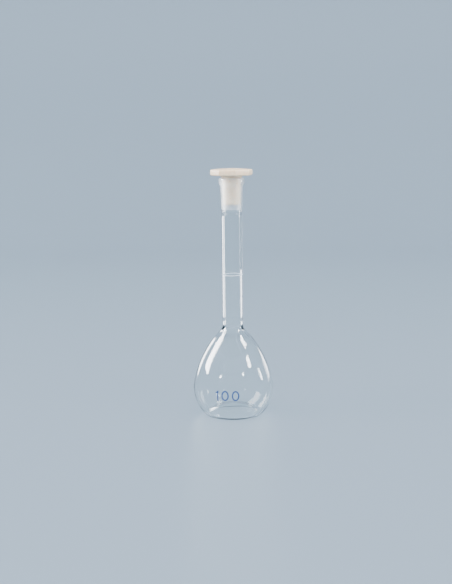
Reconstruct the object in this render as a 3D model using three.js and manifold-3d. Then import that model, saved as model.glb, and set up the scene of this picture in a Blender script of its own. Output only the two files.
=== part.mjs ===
// Volumetric flask, 100 ml, with a standard-taper ground socket and an octagonal plastic stopper.
//
// Units are millimetres, +Z is up, and the origin is the centre of the base on the bench.
// The glass is a solid of revolution about Z, made of three parts that are fused end to end: the blown
// bulb, the drawn neck tube and the ground socket. Each is its own mesh, and they meet on flat rings.
// The ring mark and the numerals are enamel fired onto the glass. The numerals face -Y.
// The stopper stands in the socket and lifts out along +Z.
import * as THREE from "three";
import { mergeVertices } from "three/addons/utils/BufferGeometryUtils.js";
import { TessellateModifier } from "three/addons/modifiers/TessellateModifier.js";
import Module from "manifold-3d";

const wasm = await Module();
wasm.setup();

const { PI, sin, cos, asin, hypot, sqrt } = Math;
const { lerp, smoothstep, degToRad } = THREE.MathUtils;

// --- Driving dimensions -------------------------------------------------------------------------

const SEGMENTS = 32; // facets round the axis

const CAPACITY = 100000; // cubic millimetres held up to the ring mark
const FLASK_HEIGHT = 175; // bench to socket rim

// Bulb: a sphere below its widest circle, and a pear-shaped shoulder above it
const BULB_RADIUS = 29.5;
const WIDEST_HEIGHT = 20.4;
const HEEL_RADIUS = 3; // fillet between the sphere and the bench
const FOOT_WIDTH = 1.6; // flat ring that stands on the bench
const PUNT_HEIGHT = 6; // how far the base is pushed up at its centre
const SHOULDER_ANGLE = degToRad(45); // from the vertical, where the shoulder meets the neck fillet
const SHOULDER_RISE = 7.4; // how far the shoulder starts straight up from the widest circle
const SHOULDER_PULL = 20.9; // how far it ends along the tangent at the neck fillet
const NECK_FILLET = 5;
const NECK_FILLET_DROP = 0.7; // of the fillet's centre below the foot of the neck
const BULB_WALL = 1.7;
const BASE_WALL = 1.85;
const BASE_BLEND = 9; // height over which the wall thins from the base to the bulb
const WELD_GATHER = 0.6; // extra wall where the neck is fused on
const WELD_GATHER_LENGTH = 10; // along the shoulder, below the foot of the neck

// Neck tube
const NECK_RADIUS = 7.5;
const NECK_WALL = 1.4;
const NECK_BASE = 67.6;
const SOCKET_BASE = 148;
const WELD_BEAD = 0.35; // bulge of the fused seam at the foot of the neck
const WELD_BEAD_HEIGHT = 4;

// Ground socket, standard taper 14/23: 14.5 mm across at the rim, 23 mm long, 1 in 10 on diameter
const TAPER = 0.1;
const MOUTH_RADIUS = 7.25;
const GROUND_LENGTH = 23;
const SOCKET_WALL = 1.25;
const RIM_RADIUS = 9.5;
const RIM_HEIGHT = 4.6;
const RIM_UNDERCUT = 1.1; // height of the cone under the rim
const RIM_ROUND = 0.9;
const MOUTH_BEVEL = 0.35;
const SEAM_BEAD = 0.55; // inward bulge where the socket is fused to the neck
const SEAM_BEAD_START = 0.6; // above the foot of the socket

// Stopper
const SEAT_GAP = 0.08; // left between the plug and the ground cone
const PLUG_DEPTH = 19.5;
const HEAD_RADIUS = 15.6; // to the corners of the octagon
const HEAD_SIDES = 8;
const HEAD_TURN = degToRad(9); // of one corner from -Y towards +X
const HEAD_THICKNESS = 4.1;
const HEAD_LIFT = 1.9; // rim to the underside of the head
const HEAD_BEVEL = 0.7;
const CROWN = 0.8; // rise of the domed top
const CROWN_ROOT = 1; // how far the dome's solid runs down into the plate
const COLLAR_RADIUS = 7.9;
const COLLAR_LIFT = 0.6; // rim to the underside of the collar
const CORE_RADIUS = 3.9;
const CORE_DRAFT = 0.9; // how much narrower the core is at its floor
const CORE_FLOOR = 2.5;
const PLUG_CHAMFER = 0.8;
const GROOVE_DEPTH = 0.25;
const GROOVE_HEIGHT = 0.8;
const GROOVE_PLACES = [7.9, 6.2]; // below the rim

// Enamel
const ENAMEL = 0.15; // thickness
const ENAMEL_GAP = 0.02; // between the ring mark and the neck
const RING_HEIGHT = 0.6;
const PRINT_GAP = 0.05; // between the numerals and the bulb
const DIGIT_HEIGHT = 7.4;
const DIGIT_WIDTH = 5.4;
const DIGIT_STROKE = 1;
const DIGIT_PLACES = [-11.9, -6.3, 1.3]; // middles, round the glass from the middle of the front
const FLAG_REACH = 1.5; // of the one's slanted stroke
const FLAG_NOTCH = 1.2; // its underside meets the stem this far down, in strokes
const PRINT_HEIGHT = 20.2; // of the middle of the numerals above the bench
const PRINT_EDGE = 1.8; // longest edge of a numeral's triangles, so that it follows the glass

// --- Derived places -----------------------------------------------------------------------------

const bore = NECK_RADIUS - NECK_WALL;
const groundFloor = FLASK_HEIGHT - GROUND_LENGTH;
const headBottom = FLASK_HEIGHT + HEAD_LIFT;
const headTop = headBottom + HEAD_THICKNESS;
const plugEnd = FLASK_HEIGHT - PLUG_DEPTH;
const coneRadius = (height) => MOUTH_RADIUS - (TAPER / 2) * (FLASK_HEIGHT - height);

const bulbOuter = bulbOuterLine();
const bulbInner = bulbInnerLine(bulbOuter);

// The ring mark stands where the flask holds exactly its capacity, as a real one is calibrated.
const ringHeight = NECK_BASE + (CAPACITY - volumeInside(bulbInner)) / (PI * bore * bore);

// --- Profiles -----------------------------------------------------------------------------------

function at(radius, height) {
  return new THREE.Vector2(radius, height);
}

// Point lists end to end, without the points that two neighbours share.
function joined(lists) {
  const line = [];
  for (const point of lists.flat()) {
    const last = line[line.length - 1];
    if (!last || hypot(point.x - last.x, point.y - last.y) > 0.01) line.push(point);
  }
  return line;
}

// The bulb's outer line from the middle of the punt to the foot of the neck.
function bulbOuterLine() {
  const sphereToHeel = BULB_RADIUS - HEEL_RADIUS;
  const drop = WIDEST_HEIGHT - HEEL_RADIUS;
  const heelX = sqrt(sphereToHeel ** 2 - drop ** 2);
  const heelAngle = asin(drop / sphereToHeel);
  const footInner = heelX - FOOT_WIDTH;
  const punt = new THREE.Path().moveTo(0, PUNT_HEIGHT);
  punt.bezierCurveTo(footInner * 0.5, PUNT_HEIGHT, footInner * 0.8, PUNT_HEIGHT * 0.4, footInner, 0);
  const heel = new THREE.Path().absarc(heelX, HEEL_RADIUS, HEEL_RADIUS, -PI / 2, -heelAngle);
  const sphere = new THREE.Path().absarc(0, WIDEST_HEIGHT, BULB_RADIUS, -heelAngle, 0);
  return joined([
    punt.getPoints(5),
    heel.getPoints(3),
    sphere.getPoints(5),
    shoulderLine().getPoints(9),
    neckFillet().getPoints(3),
    [at(NECK_RADIUS, NECK_BASE)],
  ]);
}

function shoulderLine() {
  const end = neckFillet().getPoint(0);
  const line = new THREE.Path().moveTo(BULB_RADIUS, WIDEST_HEIGHT);
  return line.bezierCurveTo(
    BULB_RADIUS,
    WIDEST_HEIGHT + SHOULDER_RISE,
    end.x + SHOULDER_PULL * sin(SHOULDER_ANGLE),
    end.y - SHOULDER_PULL * cos(SHOULDER_ANGLE),
    end.x,
    end.y,
  );
}

function neckFillet() {
  const centre = at(NECK_RADIUS + NECK_FILLET, NECK_BASE - NECK_FILLET_DROP);
  return new THREE.Path().absarc(centre.x, centre.y, NECK_FILLET, PI + SHOULDER_ANGLE, PI, true);
}

// Wall thickness at a height on the bulb.
function wallAt(height) {
  const body = lerp(BASE_WALL, BULB_WALL, smoothstep(height, 0, BASE_BLEND));
  const gathered = smoothstep(height, NECK_BASE - WELD_GATHER_LENGTH, NECK_BASE - WELD_GATHER_LENGTH / 2);
  const thinned = smoothstep(height, NECK_BASE - WELD_GATHER_LENGTH / 2, NECK_BASE);
  return lerp(body, NECK_WALL, thinned) + WELD_GATHER * (gathered - thinned);
}

// The inner line: each outer point moved inwards, square to the outer line, by the wall there.
function bulbInnerLine(outer) {
  const inner = outer.slice(1, -1).map((point, i) => {
    const along = outer[i + 2].clone().sub(outer[i]).normalize();
    const wall = wallAt(point.y);
    return at(point.x - along.y * wall, point.y + along.x * wall);
  });
  return joined([[at(0, outer[0].y + wallAt(outer[0].y))], inner, [at(bore, NECK_BASE)]]);
}

// Volume inside a line that runs upwards from the axis.
function volumeInside(line) {
  let volume = 0;
  for (let i = 1; i < line.length; i++) {
    const [a, b] = [line[i - 1], line[i]];
    volume += (PI / 3) * (b.y - a.y) * (a.x * a.x + a.x * b.x + b.x * b.x);
  }
  return volume;
}

// Radius of the bulb's outside at a height, clear of the foot.
function bulbRadiusAt(height) {
  const i = bulbOuter.findIndex((p, k) => k > 0 && bulbOuter[k - 1].x > BULB_RADIUS / 2 && p.y >= height);
  const [a, b] = [bulbOuter[i - 1], bulbOuter[i]];
  return lerp(a.x, b.x, (height - a.y) / (b.y - a.y));
}

// A bulge on a straight wall: half a sine wave, without its ends.
function beadPoints(radius, bulge, from, to) {
  const shares = [1, 2, 3, 4, 5].map((step) => step / 6);
  return shares.map((share) => at(radius + bulge * sin(PI * share), lerp(from, to, share)));
}

// --- Solids -------------------------------------------------------------------------------------

// A solid turned about Z from points of radius and height.
function turned(points) {
  return new THREE.LatheGeometry(points, SEGMENTS).rotateX(PI / 2);
}

// A closed geometry as a manifold solid.
function solid(geometry) {
  const bare = geometry.clone();
  for (const attribute of ["normal", "uv"]) bare.deleteAttribute(attribute);
  const merged = mergeVertices(bare, 1e-4);
  const vertProperties = new Float32Array(merged.getAttribute("position").array);
  const triVerts = new Uint32Array(merged.index.array);
  return new wasm.Manifold(new wasm.Mesh({ numProp: 3, vertProperties, triVerts }));
}

function geometryOf(manifold) {
  const mesh = manifold.getMesh();
  const geometry = new THREE.BufferGeometry();
  geometry.setAttribute("position", new THREE.BufferAttribute(mesh.vertProperties, 3));
  geometry.setIndex(new THREE.BufferAttribute(mesh.triVerts, 1));
  return geometry;
}

// --- Glass --------------------------------------------------------------------------------------

function bulbShape() {
  return turned([...bulbOuter, ...bulbInner.toReversed()]);
}

function neckShape() {
  const beadTop = NECK_BASE + WELD_BEAD_HEIGHT;
  return turned([
    at(bore, NECK_BASE),
    at(NECK_RADIUS, NECK_BASE),
    ...beadPoints(NECK_RADIUS, WELD_BEAD, NECK_BASE, beadTop),
    at(NECK_RADIUS, beadTop),
    at(NECK_RADIUS, SOCKET_BASE),
    at(bore, SOCKET_BASE),
    at(bore, NECK_BASE),
  ]);
}

function socketShape() {
  const rimBottom = FLASK_HEIGHT - RIM_HEIGHT;
  const rimEdge = RIM_RADIUS - RIM_ROUND;
  const rimRound = new THREE.Path().absarc(rimEdge, FLASK_HEIGHT - RIM_ROUND, RIM_ROUND, 0, PI / 2);
  return turned([
    at(bore, SOCKET_BASE),
    at(NECK_RADIUS, SOCKET_BASE),
    at(coneRadius(groundFloor) + NECK_WALL, groundFloor),
    at(MOUTH_RADIUS + SOCKET_WALL, rimBottom - RIM_UNDERCUT),
    at(RIM_RADIUS, rimBottom),
    ...rimRound.getPoints(3),
    at(MOUTH_RADIUS + MOUTH_BEVEL, FLASK_HEIGHT),
    at(coneRadius(FLASK_HEIGHT - MOUTH_BEVEL), FLASK_HEIGHT - MOUTH_BEVEL),
    at(bore, groundFloor),
    ...beadPoints(bore, -SEAM_BEAD, groundFloor, SOCKET_BASE + SEAM_BEAD_START),
    at(bore, SOCKET_BASE),
  ]);
}

// --- Stopper ------------------------------------------------------------------------------------

// The octagonal plate, with its low dome.
function headSolid() {
  const radius = HEAD_RADIUS - HEAD_BEVEL;
  const corners = Array.from({ length: HEAD_SIDES }, (_, i) => {
    const angle = HEAD_TURN - PI / 2 + (i * 2 * PI) / HEAD_SIDES;
    return at(radius * cos(angle), radius * sin(angle));
  });
  const plate = new THREE.ExtrudeGeometry(new THREE.Shape(corners), {
    depth: HEAD_THICKNESS - 2 * HEAD_BEVEL,
    bevelThickness: HEAD_BEVEL,
    bevelSize: HEAD_BEVEL,
    bevelSegments: 3,
  }).translate(0, 0, headBottom + HEAD_BEVEL);
  const domeEdge = radius * cos(PI / HEAD_SIDES);
  const dome = new THREE.Path().moveTo(domeEdge, headTop);
  dome.quadraticCurveTo(domeEdge / 2, headTop + CROWN, 0, headTop + CROWN);
  const cap = turned([at(0, headTop - CROWN_ROOT), at(domeEdge, headTop - CROWN_ROOT), ...dome.getPoints(5)]);
  return solid(plate).add(solid(cap));
}

// The tapered plug with its sealing grooves, and the collar that runs up into the head.
function plugSolid() {
  const plug = (height) => coneRadius(height) - SEAT_GAP;
  const groove = (depth) => {
    const middle = FLASK_HEIGHT - depth;
    return [
      [-1 / 2, 0],
      [-1 / 4, GROOVE_DEPTH],
      [1 / 4, GROOVE_DEPTH],
      [1 / 2, 0],
    ].map(([share, cut]) => at(plug(middle + share * GROOVE_HEIGHT) - cut, middle + share * GROOVE_HEIGHT));
  };
  return solid(
    turned([
      at(0, plugEnd),
      at(plug(plugEnd) - PLUG_CHAMFER, plugEnd),
      at(plug(plugEnd + PLUG_CHAMFER), plugEnd + PLUG_CHAMFER),
      ...GROOVE_PLACES.flatMap(groove),
      at(plug(FLASK_HEIGHT), FLASK_HEIGHT),
      at(COLLAR_RADIUS, FLASK_HEIGHT + COLLAR_LIFT),
      at(COLLAR_RADIUS, headBottom + HEAD_THICKNESS / 2),
      at(0, headBottom + HEAD_THICKNESS / 2),
    ]),
  );
}

// The hollow that opens in the middle of the head and runs down the plug.
function coreSolid() {
  const floor = plugEnd + CORE_FLOOR;
  const above = headTop + 2 * CROWN;
  return solid(
    turned([at(0, floor), at(CORE_RADIUS - CORE_DRAFT, floor), at(CORE_RADIUS, above), at(0, above)]),
  );
}

function stopperShape() {
  return geometryOf(headSolid().add(plugSolid()).subtract(coreSolid()));
}

// --- Enamel -------------------------------------------------------------------------------------

function ringMarkShape() {
  const inner = NECK_RADIUS + ENAMEL_GAP;
  const outer = inner + ENAMEL;
  const low = ringHeight - RING_HEIGHT / 2;
  const high = ringHeight + RING_HEIGHT / 2;
  return turned([at(inner, low), at(outer, low), at(outer, high), at(inner, high), at(inner, low)]);
}

function zeroOutline() {
  const [halfWidth, halfHeight] = [DIGIT_WIDTH / 2, DIGIT_HEIGHT / 2];
  const outline = new THREE.Shape().absellipse(0, 0, halfWidth, halfHeight, 0, 2 * PI);
  const [holeWidth, holeHeight] = [halfWidth - DIGIT_STROKE, halfHeight - DIGIT_STROKE];
  outline.holes.push(new THREE.Path().absellipse(0, 0, holeWidth, holeHeight, 0, 2 * PI));
  return outline;
}

function oneOutline() {
  const half = DIGIT_STROKE / 2;
  const top = DIGIT_HEIGHT / 2;
  return new THREE.Shape([
    at(-half, -top),
    at(half, -top),
    at(half, top),
    at(-half, top),
    at(-half - FLAG_REACH, top - FLAG_REACH),
    at(-half - FLAG_REACH, top - FLAG_REACH - DIGIT_STROKE),
    at(-half, top - DIGIT_STROKE * FLAG_NOTCH),
  ]);
}

// An outline wrapped onto the front of the bulb, with its middle the given distance from the centre.
function printed(outline, offset) {
  const flat = new THREE.ExtrudeGeometry(outline, { depth: ENAMEL, curveSegments: 10, bevelEnabled: false });
  const fine = new TessellateModifier(PRINT_EDGE, 8).modify(flat);
  const place = fine.getAttribute("position");
  for (let i = 0; i < place.count; i++) {
    const height = PRINT_HEIGHT + place.getY(i);
    const angle = (offset + place.getX(i)) / BULB_RADIUS;
    const radius = bulbRadiusAt(height) + PRINT_GAP + place.getZ(i);
    place.setXYZ(i, radius * sin(angle), -radius * cos(angle), height);
  }
  return fine;
}

// --- Assembly -----------------------------------------------------------------------------------

const MATERIALS = {
  glass: { color: 0xdcecf2, roughness: 0.04, transparent: true, opacity: 0.35 },
  groundGlass: { color: 0xe9eef0, roughness: 0.7, transparent: true, opacity: 0.6 },
  ringEnamel: { color: 0xdfeaf6, roughness: 0.35 },
  printEnamel: { color: 0x1f4590, roughness: 0.35 },
  plastic: { color: 0xefe6da, roughness: 0.45 },
};

const flask = new THREE.Group();

function add(name, geometry, material) {
  const mesh = new THREE.Mesh(geometry, new THREE.MeshStandardMaterial({ metalness: 0, ...material }));
  mesh.name = name;
  flask.add(mesh);
}

add("bulb", bulbShape(), MATERIALS.glass);
add("neck_tube", neckShape(), MATERIALS.glass);
add("ground_socket", socketShape(), MATERIALS.groundGlass);
add("ring_mark", ringMarkShape(), MATERIALS.ringEnamel);
add("numeral_one", printed(oneOutline(), DIGIT_PLACES[0]), MATERIALS.printEnamel);
add("numeral_zero_left", printed(zeroOutline(), DIGIT_PLACES[1]), MATERIALS.printEnamel);
add("numeral_zero_right", printed(zeroOutline(), DIGIT_PLACES[2]), MATERIALS.printEnamel);
add("stopper", stopperShape(), MATERIALS.plastic);

export default flask;
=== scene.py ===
# The looks of the volumetric flask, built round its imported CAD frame. Blender 4.5, metres, +Z up.
from math import asin, cos, exp, pi, radians, sin, sqrt

import bpy
from mathutils import Matrix, Vector, noise


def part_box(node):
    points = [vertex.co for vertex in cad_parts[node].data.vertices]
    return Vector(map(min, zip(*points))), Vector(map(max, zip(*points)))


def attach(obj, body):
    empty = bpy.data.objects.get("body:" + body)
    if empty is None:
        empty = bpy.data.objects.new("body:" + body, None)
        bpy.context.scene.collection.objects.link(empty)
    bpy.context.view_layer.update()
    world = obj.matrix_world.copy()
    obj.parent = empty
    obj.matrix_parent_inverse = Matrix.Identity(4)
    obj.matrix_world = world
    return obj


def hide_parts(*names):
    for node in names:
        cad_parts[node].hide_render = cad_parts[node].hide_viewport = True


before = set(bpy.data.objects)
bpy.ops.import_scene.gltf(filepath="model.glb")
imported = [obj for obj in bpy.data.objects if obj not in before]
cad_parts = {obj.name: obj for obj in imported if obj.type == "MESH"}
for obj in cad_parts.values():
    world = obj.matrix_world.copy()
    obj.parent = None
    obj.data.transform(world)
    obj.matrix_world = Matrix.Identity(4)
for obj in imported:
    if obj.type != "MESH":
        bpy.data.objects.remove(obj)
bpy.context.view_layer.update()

MM = 0.001

# --- Sizes: the frame's own, then the fine shape that it doesn't carry ----------------------------

BULB_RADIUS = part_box("bulb")[1].x
NECK_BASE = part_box("neck_tube")[0].z
SOCKET_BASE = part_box("ground_socket")[0].z
FLASK_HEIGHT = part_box("ground_socket")[1].z
RIM_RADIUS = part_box("ground_socket")[1].x
RING_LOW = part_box("ring_mark")[0].z
RING_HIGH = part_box("ring_mark")[1].z
ENAMEL = 0.15 * MM
ENAMEL_GAP = 0.02 * MM
NECK_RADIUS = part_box("ring_mark")[1].x - ENAMEL - ENAMEL_GAP

WIDEST_HEIGHT = 20.4 * MM
HEEL_RADIUS = 3 * MM
FOOT_WIDTH = 1.6 * MM
FOOT_ROUND = 1.3 * MM
FOOT_SLOPE = radians(38)  # of the punt's side where it leaves the foot
FOOT_PULL = 6 * MM  # how far the punt follows that slope
PUNT_HEIGHT = 6 * MM
PUNT_FLATNESS = 0.45  # how far its middle stays level, as a share of its radius
SHOULDER_ANGLE = radians(45)
SHOULDER_RISE = 7.4 * MM
SHOULDER_PULL = 20.9 * MM
NECK_FILLET = 5 * MM
NECK_FILLET_DROP = 0.7 * MM  # of the fillet's centre below the foot of the neck
BULB_WALL = 1.7 * MM
BASE_WALL = 1.85 * MM
BASE_BLEND = 9 * MM  # height over which the wall thins from the base to the bulb
NECK_WALL = 1.4 * MM
WELD_GATHER = 0.6 * MM  # extra wall where the neck is fused on
WELD_GATHER_LENGTH = 10 * MM
WELD_BEAD = 0.32 * MM
WELD_BEAD_HEIGHT = 2 * MM  # above the foot of the neck
WELD_BEAD_LENGTH = 1.3 * MM
BORE = NECK_RADIUS - NECK_WALL
INNER_START = 0.3 * MM  # the inner line's points nearer to the axis than this are left out
INNER_STEP = 0.02 * MM  # and so are those that gain less than this on the one before

TAPER = 0.05  # change of radius with height in the ground cone
MOUTH_RADIUS = 7.25 * MM
GROUND_LENGTH = 23 * MM
SOCKET_WALL = 1.25 * MM
RIM_HEIGHT = 4.6 * MM
RIM_UNDERCUT = 1.6 * MM
UNDERCUT_PULLS = (Vector((0.02, 0.6)) * MM, Vector((0, -0.8)) * MM)  # at the curve's two ends
RIM_ROUND = 1.2 * MM
MOUTH_ROUND = 0.45 * MM
SEAM_BEAD = 0.6 * MM
SEAM_BEAD_HEIGHT = 2.3 * MM  # above the foot of the socket
SEAM_BEAD_LENGTH = 0.9 * MM

OUTER_RIPPLE = 0.09 * MM
INNER_RIPPLE = 0.16 * MM
OUTER_SEED = 3.1
INNER_SEED = 47.7
RIPPLE_TURN = 1.3  # how fast the unevenness changes round the glass
RIPPLE_LENGTH = 22 * MM  # how slowly it changes with height
RIPPLE_RISE = (1 * MM, 12 * MM)  # heights between which it sets in
RIPPLE_END = 20 * MM  # length below the socket over which it dies out
DRAWN_LENGTH = 12 * MM  # length below the neck over which it lessens
DRAWN_SHARE = 0.85  # how much of it the drawn neck is without

SEAT_GAP = 0.08 * MM
PLUG_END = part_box("stopper")[0].z
PLUG_ROUND = 0.8 * MM
PLUG_FLAT_EDGE = 0.9 * MM  # between the flat of the plug's end and its side
PLUG_ROUND_START = -pi / 2 + 0.1  # just off straight down, as the flat already ends there
PLUG_SIDE_START = 1 * MM  # above the plug's end
PLUG_TOP = FLASK_HEIGHT + 0.05 * MM
GROOVE_DEPTH = 0.25 * MM
GROOVE_WIDTH = 0.3 * MM
GROOVE_PLACES = (6.2 * MM, 7.9 * MM)  # below the rim
HEAD_BOTTOM = FLASK_HEIGHT + 1.9 * MM
HEAD_THICKNESS = 4.1 * MM
HEAD_TOP = HEAD_BOTTOM + HEAD_THICKNESS
HEAD_RADIUS = 15.6 * MM
HEAD_SIDES = 8
HEAD_TURN = radians(9)
HEAD_ROUND = 0.8 * MM
HEAD_SHARPNESS = 70  # of its eight upright edges
CROWN = 0.8 * MM
COLLAR_RADIUS = 7.9 * MM
COLLAR_BOTTOM = FLASK_HEIGHT + 0.4 * MM
COLLAR_FLARE = 0.4 * MM
COLLAR_FILLET = 0.4 * MM
CORE_RADIUS = 3.9 * MM
CORE_EDGE = 0.3 * MM
CORE_SIDE_START = 1 * MM  # below the top of the head
CORE_FLOOR_RADIUS = 3 * MM
CORE_FLOOR_FILLET = 0.6 * MM
CORE_FLOOR = PLUG_END + 2.5 * MM

RING_UNEVENNESS = 0.1  # share of the ring mark's width
PRINT_STROKE = 0.95 * MM
PRINT_THICKNESS = 0.1 * MM
SHARPEST_MITRE = 0.5  # cosine of the sharpest turn that a stroke's two edges follow
FLAG_REACH = 1.7 * MM  # of the one's slanted stroke
FLAG_SLOPE = 0.8
FLAG_DROP = 0.7 * PRINT_STROKE  # of its joint with the stem below the top of the one

GLASS_SEGMENTS = 160
STOPPER_SEGMENTS = 192
RING_SEGMENTS = 192
RING_SIDES = 10
ZERO_POINTS = 72
SWEEP_SEGMENTS = 128
ON_AXIS = 1e-9  # a radius below this counts as the axis


# --- Lines in the (radius, height) plane ---------------------------------------------------------

def arc(centre, radius, start, end, steps):
    angles = [start + (end - start) * i / steps for i in range(steps + 1)]
    return [Vector((centre[0] + radius * cos(a), centre[1] + radius * sin(a))) for a in angles]


def bezier(a, b, c, d, steps):
    a, b, c, d = Vector(a), Vector(b), Vector(c), Vector(d)
    line = []
    for t in (i / steps for i in range(steps + 1)):
        u = 1 - t
        line.append(u ** 3 * a + 3 * u ** 2 * t * b + 3 * u * t * t * c + t ** 3 * d)
    return line


def straight(a, b, steps):
    a, b = Vector(a), Vector(b)
    return [a.lerp(b, i / steps) for i in range(steps + 1)]


def joined(*lists):
    """Lists of points end to end, without the points that two neighbours share."""
    line = []
    for point in (p for points in lists for p in points):
        if not line or (point - line[-1]).length > 0.002 * MM:
            line.append(point)
    return line


def smoothstep(x, low, high):
    t = min(1, max(0, (x - low) / (high - low)))
    return t * t * (3 - 2 * t)


def bell(x, middle, width):
    """1 at the middle, and next to nothing two widths away from it."""
    return exp(-((x - middle) / width) ** 2)


def cone_radius(height):
    return MOUTH_RADIUS - TAPER * (FLASK_HEIGHT - height)


# --- Glass ---------------------------------------------------------------------------------------

def bulb_outer_line():
    to_heel = BULB_RADIUS - HEEL_RADIUS
    drop = WIDEST_HEIGHT - HEEL_RADIUS
    heel_x = sqrt(to_heel ** 2 - drop ** 2)
    heel_angle = asin(drop / to_heel)
    foot_inner = heel_x - FOOT_WIDTH
    fillet = arc((foot_inner, FOOT_ROUND), FOOT_ROUND, -pi / 2 - FOOT_SLOPE, -pi / 2, 8)
    start = fillet[0]
    pull = (start.x - FOOT_PULL * cos(FOOT_SLOPE), start.y + FOOT_PULL * sin(FOOT_SLOPE))
    punt = bezier((0, PUNT_HEIGHT), (foot_inner * PUNT_FLATNESS, PUNT_HEIGHT), pull, start, 26)
    heel = arc((heel_x, HEEL_RADIUS), HEEL_RADIUS, -pi / 2, -heel_angle, 14)
    sphere = arc((0, WIDEST_HEIGHT), BULB_RADIUS, -heel_angle, 0, 26)
    centre = (NECK_RADIUS + NECK_FILLET, NECK_BASE - NECK_FILLET_DROP)
    throat = arc(centre, NECK_FILLET, pi + SHOULDER_ANGLE, pi, 14)
    end = throat[0]
    above = (BULB_RADIUS, WIDEST_HEIGHT + SHOULDER_RISE)
    below = (end.x + SHOULDER_PULL * sin(SHOULDER_ANGLE), end.y - SHOULDER_PULL * cos(SHOULDER_ANGLE))
    shoulder = bezier((BULB_RADIUS, WIDEST_HEIGHT), above, below, end, 46)
    return joined(punt, fillet, heel, sphere, shoulder, throat, [Vector((NECK_RADIUS, NECK_BASE))])


def wall_at(height):
    """Thickness of the bulb's wall: base, side, the gathered glass under the neck, then the neck's own."""
    body = BASE_WALL + (BULB_WALL - BASE_WALL) * smoothstep(height, 0, BASE_BLEND)
    middle = NECK_BASE - WELD_GATHER_LENGTH / 2
    gathered = smoothstep(height, NECK_BASE - WELD_GATHER_LENGTH, middle)
    thinned = smoothstep(height, middle, NECK_BASE)
    return body + (NECK_WALL - body) * thinned + WELD_GATHER * (gathered - thinned)


def inside_of(outer):
    """The bulb's inner line: the outer one moved inwards, square to itself, by the wall."""
    inner = []
    for before, point, after in zip(outer, outer[1:], outer[2:]):
        along = (after - before).normalized()
        wall = wall_at(point.y)
        moved = Vector((point.x - along.y * wall, point.y + along.x * wall))
        onwards = not inner or (moved - inner[-1]).dot(along) > INNER_STEP
        if moved.x > INNER_START and onwards:
            inner.append(moved)
    return [Vector((0, inner[0].y))] + inner[1:] + [Vector((BORE, NECK_BASE))]


def neck_outer_line():
    heights = straight((0, NECK_BASE), (0, SOCKET_BASE), 72)
    return [Vector((NECK_RADIUS, p.y)) for p in heights]


def socket_outer_line():
    floor = FLASK_HEIGHT - GROUND_LENGTH
    rim_bottom = FLASK_HEIGHT - RIM_HEIGHT
    wall_top = Vector((MOUTH_RADIUS + SOCKET_WALL, rim_bottom - RIM_UNDERCUT / 2))
    side = Vector((RIM_RADIUS, rim_bottom + RIM_UNDERCUT / 2))
    under = bezier(wall_top, wall_top + UNDERCUT_PULLS[0], side + UNDERCUT_PULLS[1], side, 8)
    rim = arc((RIM_RADIUS - RIM_ROUND, FLASK_HEIGHT - RIM_ROUND), RIM_ROUND, 0, pi / 2, 10)
    return joined(
        straight((NECK_RADIUS, SOCKET_BASE), (NECK_RADIUS, floor), 6),
        straight((NECK_RADIUS, floor), wall_top, 24),
        under,
        straight(side, rim[0], 6),
        rim,
    )


def ground_line():
    """The mouth's rounded lip and the ground cone, downwards."""
    lip = arc((MOUTH_RADIUS + MOUTH_ROUND, FLASK_HEIGHT - MOUTH_ROUND), MOUTH_ROUND, pi / 2, pi, 6)
    floor = FLASK_HEIGHT - GROUND_LENGTH
    return lip, straight((cone_radius(lip[-1].y), lip[-1].y), (BORE, floor), 40)


def neck_inner_line():
    heights = straight((0, FLASK_HEIGHT - GROUND_LENGTH), (0, NECK_BASE), 96)
    seam = SOCKET_BASE + SEAM_BEAD_HEIGHT
    return [Vector((BORE - SEAM_BEAD * bell(p.y, seam, SEAM_BEAD_LENGTH), p.y)) for p in heights]


def ripple(angle, height, seed, size):
    """The slight unevenness of blown glass, less in the drawn neck, none at the foot or in the socket."""
    held = smoothstep(height, *RIPPLE_RISE)
    held *= 1 - smoothstep(height, SOCKET_BASE - RIPPLE_END, SOCKET_BASE)
    drawn = 1 - DRAWN_SHARE * smoothstep(height, NECK_BASE - DRAWN_LENGTH, NECK_BASE)
    spot = Vector((seed + cos(angle) * RIPPLE_TURN, sin(angle) * RIPPLE_TURN, height / RIPPLE_LENGTH))
    return size * held * drawn * noise.noise(spot)


# Radius functions take a line's radius, the angle round the axis and the height

def outside_radius(radius, angle, height):
    return radius + ripple(angle, height, OUTER_SEED, OUTER_RIPPLE)


def inside_radius(radius, angle, height):
    return radius + ripple(angle, height, INNER_SEED, INNER_RIPPLE)


def turned_points(rows, segments):
    points = []
    for point, shape, _ in rows:
        if point.x < ON_AXIS:
            points.append((0, 0, point.y))
            continue
        for k in range(segments):
            angle = 2 * pi * k / segments
            radius = shape(point.x, angle, point.y)
            points.append((radius * cos(angle), radius * sin(angle), point.y))
    return points


def faces_between(start, here, there, segments):
    """Faces from one ring of points to the next, where a ring of one point is on the axis."""
    after = start + here
    for k in range(segments):
        n = (k + 1) % segments
        if here == 1:
            yield start, after + n, after + k
        elif there == 1:
            yield start + k, start + n, after
        else:
            yield start + k, start + n, after + n, after + k


def revolve(name, rows, segments):
    """A mesh turned about Z from rows of (line point, radius function, material index).

    A row on the axis is a single point. Faces take the material of their later row.
    """
    sizes = [1 if point.x < ON_AXIS else segments for point, _, _ in rows]
    faces, indices = [], []
    start = 0
    for here, there, row in zip(sizes, sizes[1:], rows[1:]):
        faces.extend(faces_between(start, here, there, segments))
        indices.extend([row[2]] * segments)
        start += here
    mesh = bpy.data.meshes.new(name)
    mesh.from_pydata(turned_points(rows, segments), [], faces)
    mesh.polygons.foreach_set("material_index", indices)
    mesh.polygons.foreach_set("use_smooth", [True] * len(faces))
    mesh.update()
    return mesh


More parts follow.
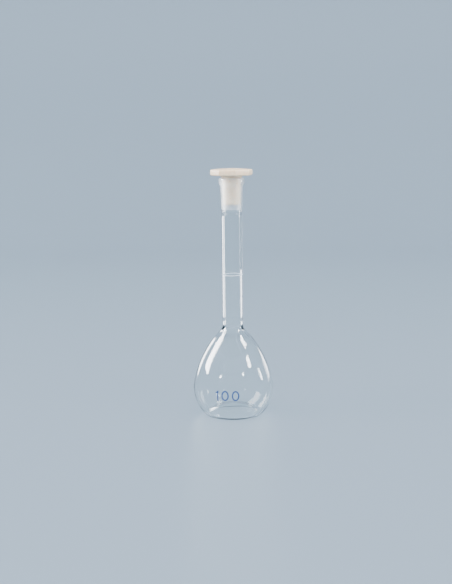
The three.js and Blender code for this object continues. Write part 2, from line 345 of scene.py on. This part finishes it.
def add_piece(mesh, materials, body, slot, *nodes):
    piece = bpy.data.objects.new(mesh.name, mesh)
    bpy.context.scene.collection.objects.link(piece)
    for material in materials:
        mesh.materials.append(material)
    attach(piece, body)
    if nodes:
        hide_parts(*nodes)
    return piece


def make_glass(clear, ground):
    outer = joined(bulb_outer_line(), neck_outer_line(), socket_outer_line())
    weld = NECK_BASE + WELD_BEAD_HEIGHT
    outer = [Vector((p.x + WELD_BEAD * bell(p.y, weld, WELD_BEAD_LENGTH), p.y)) for p in outer]
    lip, cone = ground_line()
    inner = list(reversed(inside_of(bulb_outer_line())))
    rows = [(p, outside_radius, 0) for p in joined(outer, lip)]
    rows += [(p, inside_radius, 1) for p in cone[1:]]
    rows += [(p, inside_radius, 0) for p in joined(neck_inner_line(), inner)[1:]]
    mesh = revolve("flask_glass", rows, GLASS_SEGMENTS)
    glass = add_piece(mesh, (clear, ground), "flask", "clear_glass", "bulb", "neck_tube", "ground_socket")
    glass.visible_diffuse = False  # the panels' light isn't gathered into a glow on the floor
    return glass


# --- Materials -----------------------------------------------------------------------------------

GLASS_IOR = 1.473  # borosilicate
PLASTIC_IOR = 1.51


def new_material(name):
    material = bpy.data.materials.new(name)
    material.use_nodes = True
    tree = material.node_tree
    return material, tree, tree.nodes["Principled BSDF"]


def noise_node(tree, scale, detail=2.0, stretch=(1, 1, 1)):
    coordinates = tree.nodes.new("ShaderNodeTexCoord")
    mapping = tree.nodes.new("ShaderNodeMapping")
    mapping.inputs["Scale"].default_value = stretch
    texture = tree.nodes.new("ShaderNodeTexNoise")
    texture.inputs["Scale"].default_value = scale
    texture.inputs["Detail"].default_value = detail
    tree.links.new(coordinates.outputs["Object"], mapping.inputs["Vector"])
    tree.links.new(mapping.outputs["Vector"], texture.inputs["Vector"])
    return texture


def ramp_between(tree, source, low, high):
    """A number that goes from low to high with a texture's value."""
    ramp = tree.nodes.new("ShaderNodeMapRange")
    ramp.inputs["From Min"].default_value = 0.3
    ramp.inputs["From Max"].default_value = 0.7
    ramp.inputs["To Min"].default_value = low
    ramp.inputs["To Max"].default_value = high
    tree.links.new(source.outputs["Fac"], ramp.inputs["Value"])
    return ramp.outputs["Result"]


def colour_between(tree, source, low, high):
    ramp = tree.nodes.new("ShaderNodeValToRGB")
    ramp.color_ramp.elements[0].position = 0.35
    ramp.color_ramp.elements[0].color = (*low, 1)
    ramp.color_ramp.elements[1].position = 0.65
    ramp.color_ramp.elements[1].color = (*high, 1)
    tree.links.new(source.outputs["Fac"], ramp.inputs["Fac"])
    return ramp.outputs["Color"]


def bumped(tree, shader, source, strength, distance):
    node = tree.nodes.new("ShaderNodeBump")
    node.inputs["Strength"].default_value = strength
    node.inputs["Distance"].default_value = distance
    tree.links.new(source.outputs["Fac"], node.inputs["Height"])
    tree.links.new(node.outputs["Normal"], shader.inputs["Normal"])


def let_lamps_through(tree, shader, tint):
    """Light from the lamps passes the glass on its way to what is behind or inside it."""
    path = tree.nodes.new("ShaderNodeLightPath")
    open_way = tree.nodes.new("ShaderNodeBsdfTransparent")
    open_way.inputs["Color"].default_value = tint
    mix = tree.nodes.new("ShaderNodeMixShader")
    tree.links.new(path.outputs["Is Shadow Ray"], mix.inputs[0])
    tree.links.new(shader.outputs["BSDF"], mix.inputs[1])
    tree.links.new(open_way.outputs["BSDF"], mix.inputs[2])
    tree.links.new(mix.outputs["Shader"], tree.nodes["Material Output"].inputs["Surface"])


def clear_glass():
    material, tree, shader = new_material("clear_glass")
    let_lamps_through(tree, shader, (0.93, 0.95, 0.96, 1))
    shader.inputs["Base Color"].default_value = (0.975, 0.99, 0.99, 1)
    shader.inputs["Transmission Weight"].default_value = 1.0
    shader.inputs["IOR"].default_value = GLASS_IOR
    tree.links.new(ramp_between(tree, noise_node(tree, 40), 0.0, 0.012), shader.inputs["Roughness"])
    bumped(tree, shader, noise_node(tree, 90, 1.0, (1, 1, 0.25)), 0.12, 0.05 * MM)
    return material


def ground_glass():
    material, tree, shader = new_material("ground_glass")
    let_lamps_through(tree, shader, (0.95, 0.96, 0.97, 1))
    shader.inputs["Base Color"].default_value = (0.96, 0.98, 1.0, 1)
    shader.inputs["Transmission Weight"].default_value = 0.9
    shader.inputs["IOR"].default_value = GLASS_IOR
    tree.links.new(ramp_between(tree, noise_node(tree, 900, 4), 0.26, 0.38), shader.inputs["Roughness"])
    bumped(tree, shader, noise_node(tree, 9000, 3), 0.12, 0.02 * MM)
    return material


def stopper_plastic():
    material, tree, shader = new_material("stopper_plastic")
    mottle = noise_node(tree, 220, 3)
    tint = colour_between(tree, mottle, (0.86, 0.62, 0.40), (0.91, 0.70, 0.49))
    tree.links.new(tint, shader.inputs["Base Color"])
    shader.inputs["Subsurface Weight"].default_value = 0.35
    shader.inputs["Subsurface Radius"].default_value = (1.0, 0.8, 0.6)
    shader.inputs["Subsurface Scale"].default_value = 2 * MM
    shader.inputs["IOR"].default_value = PLASTIC_IOR
    tree.links.new(ramp_between(tree, noise_node(tree, 1500, 2), 0.32, 0.46), shader.inputs["Roughness"])
    bumped(tree, shader, noise_node(tree, 3500, 2), 0.15, 0.03 * MM)
    return material


def enamel(name, low, high):
    material, tree, shader = new_material(name)
    tree.links.new(colour_between(tree, noise_node(tree, 2500, 3), low, high), shader.inputs["Base Color"])
    tree.links.new(ramp_between(tree, noise_node(tree, 4000, 2), 0.28, 0.45), shader.inputs["Roughness"])
    bumped(tree, shader, noise_node(tree, 6000, 2), 0.3, 0.02 * MM)
    return material


# --- Stopper -------------------------------------------------------------------------------------

def octagon_radius(angle):
    """Distance from the axis to the head's rounded octagonal outline, as a share of its corner radius."""
    apothem = cos(pi / HEAD_SIDES)
    total = 0
    for k in range(HEAD_SIDES):
        facing = cos(angle - (HEAD_TURN - pi / 2 + pi / HEAD_SIDES + 2 * pi * k / HEAD_SIDES))
        total += max(0, facing) ** HEAD_SHARPNESS
    return apothem / total ** (1 / HEAD_SHARPNESS)


def round_section(radius, angle, height):
    return radius


def partly_eight_sided(share):
    """A section between round, at 0, and eight-sided, at 1."""
    def shape(radius, angle, height):
        return radius * (1 + (octagon_radius(angle) - 1) * share)
    return shape


def plug_radius(height):
    return cone_radius(height) - SEAT_GAP


def plug_line():
    """From the middle of the plug's end, round its edge and up past the two sealing grooves to the rim."""
    edge = plug_radius(PLUG_END)
    end = straight((0, PLUG_END), (edge - PLUG_FLAT_EDGE, PLUG_END), 6)
    corner = arc((edge - PLUG_ROUND, PLUG_END + PLUG_ROUND), PLUG_ROUND, PLUG_ROUND_START, 0, 6)
    side = []
    for point in straight((0, PLUG_END + PLUG_SIDE_START), (0, FLASK_HEIGHT), 150):
        cuts = (bell(FLASK_HEIGHT - point.y, place, GROOVE_WIDTH) for place in GROOVE_PLACES)
        side.append(Vector((plug_radius(point.y) - GROOVE_DEPTH * sum(cuts), point.y)))
    return end + corner + side


def collar_line():
    """From the top of the plug out to the collar, and up it to the underside of the head."""
    top = plug_radius(FLASK_HEIGHT)
    flare = bezier(
        (top, PLUG_TOP),
        (top, COLLAR_BOTTOM),
        (COLLAR_RADIUS, COLLAR_BOTTOM),
        (COLLAR_RADIUS, COLLAR_BOTTOM + COLLAR_FLARE),
        6,
    )
    centre = (COLLAR_RADIUS + COLLAR_FILLET, HEAD_BOTTOM - COLLAR_FILLET)
    return flare + arc(centre, COLLAR_FILLET, pi, pi / 2, 5)


def head_rows():
    """The head's underside, side and domed top, each face blended between round and eight-sided."""
    start = COLLAR_RADIUS + COLLAR_FILLET
    edge = HEAD_RADIUS - HEAD_ROUND
    rows = []
    for share in (i / 10 for i in range(1, 11)):
        rows.append((Vector((start + (edge - start) * share, HEAD_BOTTOM)), partly_eight_sided(share)))
    side = arc((edge, HEAD_BOTTOM + HEAD_ROUND), HEAD_ROUND, -pi / 2, 0, 8)[1:]
    side += arc((edge, HEAD_TOP - HEAD_ROUND), HEAD_ROUND, 0, pi / 2, 8)
    rows += [(p, partly_eight_sided(1)) for p in side]
    for share in (i / 20 for i in range(1, 21)):
        radius = edge + (CORE_RADIUS + CORE_EDGE - edge) * share
        height = HEAD_TOP + CROWN * (1 - (radius / edge) ** 2)
        rows.append((Vector((radius, height)), partly_eight_sided(1 - share)))
    return rows


def core_line(top):
    """From the core's rounded mouth down to the middle of its floor."""
    mouth = arc((CORE_RADIUS + CORE_EDGE, top - CORE_EDGE), CORE_EDGE, pi / 2, pi, 6)[1:]
    corner = CORE_FLOOR + CORE_FLOOR_FILLET
    side = straight((CORE_RADIUS, top - CORE_SIDE_START), (CORE_FLOOR_RADIUS, corner), 20)
    centre = (CORE_FLOOR_RADIUS - CORE_FLOOR_FILLET, corner)
    floor = arc(centre, CORE_FLOOR_FILLET, 0, -pi / 2, 5)[1:]
    return mouth + side + floor + [Vector((0, CORE_FLOOR))]


def make_stopper(plastic):
    head = head_rows()
    rows = [(p, round_section) for p in plug_line() + collar_line()] + head
    rows += [(p, round_section) for p in core_line(head[-1][0].y)]
    mesh = revolve("stopper_moulding", [(p, shape, 0) for p, shape in rows], STOPPER_SEGMENTS)
    return add_piece(mesh, (plastic,), "stopper", "stopper_plastic", "stopper")


# --- Enamel --------------------------------------------------------------------------------------

BULB_LINE = bulb_outer_line()


def bulb_surface(angle, height):
    """Radius of the bulb's outside above the foot, ripples included."""
    for a, b in zip(BULB_LINE, BULB_LINE[1:]):
        if a.y <= height <= b.y and b.x > BULB_RADIUS / 2:
            radius = a.x + (b.x - a.x) * (height - a.y) / max(b.y - a.y, 1e-9)
            return outside_radius(radius, angle, height)
    raise ValueError("no bulb at that height")


def make_ring_mark(material):
    """The fired line round the neck, a little uneven in width as a hand-banded one is."""
    verts, faces = [], []
    middle = (RING_LOW + RING_HIGH) / 2
    half = (RING_HIGH - RING_LOW) / 2
    for k in range(RING_SEGMENTS):
        angle = 2 * pi * k / RING_SEGMENTS
        uneven = noise.noise(Vector((cos(angle) * 3, sin(angle) * 3, 9)))
        wide = half * (1 - RING_UNEVENNESS + RING_UNEVENNESS * uneven)
        for i in range(RING_SIDES):
            turn = 2 * pi * i / RING_SIDES
            height = middle + wide * sin(turn)
            glass = outside_radius(NECK_RADIUS, angle, height)
            radius = glass + ENAMEL_GAP + ENAMEL / 2 * (1 + cos(turn))
            verts.append((radius * cos(angle), radius * sin(angle), height))
    for k in range(RING_SEGMENTS):
        here, there = k * RING_SIDES, (k + 1) % RING_SEGMENTS * RING_SIDES
        for i in range(RING_SIDES):
            j = (i + 1) % RING_SIDES
            faces.append((here + i, there + i, there + j, here + j))
    mesh = bpy.data.meshes.new("ring_line")
    mesh.from_pydata(verts, [], faces)
    mesh.polygons.foreach_set("use_smooth", [True] * len(faces))
    return add_piece(mesh, (material,), "flask", "ring_enamel", "ring_mark")


def stroke_rails(path, closed):
    """The two edges of a stroke along a path, mitred where the path turns."""
    count = len(path)
    rails = [[], []]
    for i, point in enumerate(path):
        before = path[i - 1] if i or closed else point
        after = path[(i + 1) % count] if i + 1 < count or closed else point
        into = (point - before).normalized() if before != point else (after - point).normalized()
        out = (after - point).normalized() if after != point else into
        along = (into + out).normalized()
        across = Vector((along.y, -along.x))
        reach = PRINT_STROKE / 2 / max(SHARPEST_MITRE, along.dot(into))
        rails[0].append(point - across * reach)
        rails[1].append(point + across * reach)
    return rails


def stroke_faces(count, closed):
    """Faces of a stroke whose corners are listed rail by rail, the inner face's two rails first."""
    low_left, low_right, high_left, high_right = (range(i * count, (i + 1) * count) for i in range(4))
    faces = []
    for i in range(count if closed else count - 1):
        n = (i + 1) % count
        faces.append((low_left[i], low_left[n], low_right[n], low_right[i]))
        faces.append((high_left[i], high_right[i], high_right[n], high_left[n]))
        faces.append((low_left[i], high_left[i], high_left[n], low_left[n]))
        faces.append((low_right[i], low_right[n], high_right[n], high_right[i]))
    if not closed:
        faces.append((low_left[0], low_right[0], high_right[0], high_left[0]))
        faces.append((low_left[-1], high_left[-1], high_right[-1], low_right[-1]))
    return faces


def make_stroke(path, closed, node, material):
    """A stroke of enamel along a path of (across, height) points, laid on the bulb's front."""
    rails = stroke_rails(path, closed)
    verts = []
    for depth in (ENAMEL_GAP, ENAMEL_GAP + PRINT_THICKNESS):
        for p in rails[0] + rails[1]:
            angle = -pi / 2 + p.x / BULB_RADIUS
            radius = bulb_surface(angle, p.y) + depth
            verts.append((radius * cos(angle), radius * sin(angle), p.y))
    mesh = bpy.data.meshes.new("print_" + node)
    mesh.from_pydata(verts, [], stroke_faces(len(path), closed))
    return add_piece(mesh, (material,), "flask", "print_enamel", node)


def round_the_bulb(x):
    """Distance round the bulb's widest circle from the middle of its front to a place x across."""
    return BULB_RADIUS * asin(x / BULB_RADIUS)


def make_numerals(material):
    made = []
    for node in ("numeral_zero_left", "numeral_zero_right"):
        low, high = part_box(node)
        left, right = round_the_bulb(low.x), round_the_bulb(high.x)
        middle = Vector((left + right, low.z + high.z)) / 2
        half = (right - left) / 2 - PRINT_STROKE / 2
        tall = (high.z - low.z) / 2 - PRINT_STROKE / 2
        turns = [2 * pi * k / ZERO_POINTS for k in range(ZERO_POINTS)]
        path = [middle + Vector((half * cos(t), tall * sin(t))) for t in turns]
        made.append(make_stroke(path, True, node, material))
    low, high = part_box("numeral_one")
    stem = round_the_bulb(high.x) - PRINT_STROKE / 2
    top = (stem, high.z - FLAG_DROP)
    flag = straight((stem - FLAG_REACH, top[1] - FLAG_REACH * FLAG_SLOPE), top, 6)
    path = flag[:-1] + straight(top, (stem, low.z), 20)
    made.append(make_stroke(path, False, "numeral_one", material))
    return made


# --- Studio --------------------------------------------------------------------------------------

LAMP_TARGET = Vector((0, 0, 0.05))
# Name, bearing from the front towards +X, elevation, distance, (width, height), brightness and use.
# A "soft" lamp lights everything. The others reach only the flask: "body" lamps light its plastic and
# enamel, "glint" lamps are the panels that its gloss shows, and "edge" lamps are low cards behind it that
# are seen through its walls.
LAMPS = (
    ("overhead", 10, 78, 2.4, (2.0, 2.0), 4.0, "soft"),
    ("key_left", -80, 50, 2.4, (1.0, 1.0), 10.0, "soft"),
    ("key_right", 60, 50, 2.4, (1.0, 1.0), 5.0, "soft"),
    ("body_left", -78, 22, 0.9, (0.45, 0.45), 19.0, "body"),
    ("body_right", 78, 22, 0.9, (0.45, 0.45), 15.0, "body"),
    ("body_front", -15, 35, 1.2, (0.5, 0.5), 7.0, "body"),
    ("panel_left", -100, 31, 0.65, (0.26, 0.48), 85, "glint"),
    ("panel_right_high", 80, 49, 0.65, (0.15, 0.16), 90, "glint"),
    ("panel_right_low", 62, 30, 0.65, (0.12, 0.14), 90, "glint"),
    ("panel_right_side", 94, 9, 0.65, (0.06, 0.12), 80, "glint"),
    ("front_left", -40, 20, 1.0, (0.05, 0.05), 200, "glint"),
    ("front_right", 33, 22, 1.0, (0.05, 0.05), 200, "glint"),
    ("card_left", -150, 2.5, 0.32, (0.10, 0.122), 6, "edge"),
    ("card_right", 139, -2.9, 0.32, (0.14, 0.062), 4, "edge"),
)


def make_lamps(pieces):
    shown_in = bpy.data.collections.new("shown_in")
    for piece in pieces:
        shown_in.objects.link(piece)
    for name, bearing, elevation, distance, size, brightness, use in LAMPS:
        turn, lift = radians(bearing), radians(elevation)
        away = Vector((sin(turn) * cos(lift), -cos(turn) * cos(lift), sin(lift)))
        data = bpy.data.lights.new(name, "AREA")
        data.shape = "RECTANGLE"
        data.size, data.size_y = size
        data.energy = brightness * pi * size[0] * size[1]
        lamp = bpy.data.objects.new(name, data)
        bpy.context.scene.collection.objects.link(lamp)
        lamp.location = LAMP_TARGET + away * distance
        lamp.rotation_euler = away.to_track_quat("Z", "Y").to_euler()
        lamp.visible_camera = False
        lamp.visible_diffuse = use in ("soft", "body")
        lamp.visible_glossy = use == "glint"
        lamp.visible_transmission = use in ("glint", "edge")
        if use != "soft":
            lamp.light_linking.receiver_collection = shown_in


SWEEP_RADIUS = 1.7
SWEEP_COVE = 0.7
SWEEP_HEIGHT = 1.6
STUDIO_COLOUR = (0.40, 0.49, 0.58, 1)


def make_sweep():
    """A round floor that curves up into a wall on every side."""
    foot = SWEEP_RADIUS - SWEEP_COVE
    line = joined(
        [Vector((0, 0)), Vector((foot, 0))],
        arc((foot, SWEEP_COVE), SWEEP_COVE, -pi / 2, 0, 24),
        [Vector((SWEEP_RADIUS, SWEEP_HEIGHT))],
    )
    mesh = revolve("studio_sweep", [(p, round_section, 0) for p in line], SWEEP_SEGMENTS)
    material, _, shader = new_material("studio_sweep")
    shader.inputs["Base Color"].default_value = STUDIO_COLOUR
    shader.inputs["Roughness"].default_value = 0.3
    mesh.materials.append(material)
    sweep = bpy.data.objects.new("studio_sweep", mesh)
    bpy.context.scene.collection.objects.link(sweep)


def make_studio(pieces):
    make_sweep()
    world = bpy.data.worlds.new("studio")
    world.use_nodes = True
    world.node_tree.nodes["Background"].inputs["Color"].default_value = STUDIO_COLOUR
    world.node_tree.nodes["Background"].inputs["Strength"].default_value = 1.0
    bpy.context.scene.world = world
    make_lamps(pieces)


CAMERA_DISTANCE = 0.750
CAMERA_HEIGHT = 0.2106
CAMERA_SIDE = -0.0048
CAMERA_PITCH = radians(9.03)  # below the horizon
CAMERA_ROLL = radians(-0.6)
FOCAL_LENGTH = 63.6


def make_camera():
    data = bpy.data.cameras.new("camera")
    data.lens = FOCAL_LENGTH
    data.clip_start, data.clip_end = 0.01, 20
    camera = bpy.data.objects.new("camera", data)
    bpy.context.scene.collection.objects.link(camera)
    place = Matrix.Translation((CAMERA_SIDE, -CAMERA_DISTANCE, CAMERA_HEIGHT))
    turn = Matrix.Rotation(pi / 2 - CAMERA_PITCH, 4, "X") @ Matrix.Rotation(CAMERA_ROLL, 4, "Z")
    camera.matrix_world = place @ turn
    bpy.context.scene.camera = camera


# --- Build ---------------------------------------------------------------------------------------

pieces = [
    make_glass(clear_glass(), ground_glass()),
    make_stopper(stopper_plastic()),
    make_ring_mark(enamel("ring_enamel", (0.70, 0.80, 0.90), (0.85, 0.92, 0.97))),
    *make_numerals(enamel("print_enamel", (0.010, 0.045, 0.19), (0.022, 0.08, 0.28))),
]
make_studio(pieces)
make_camera()
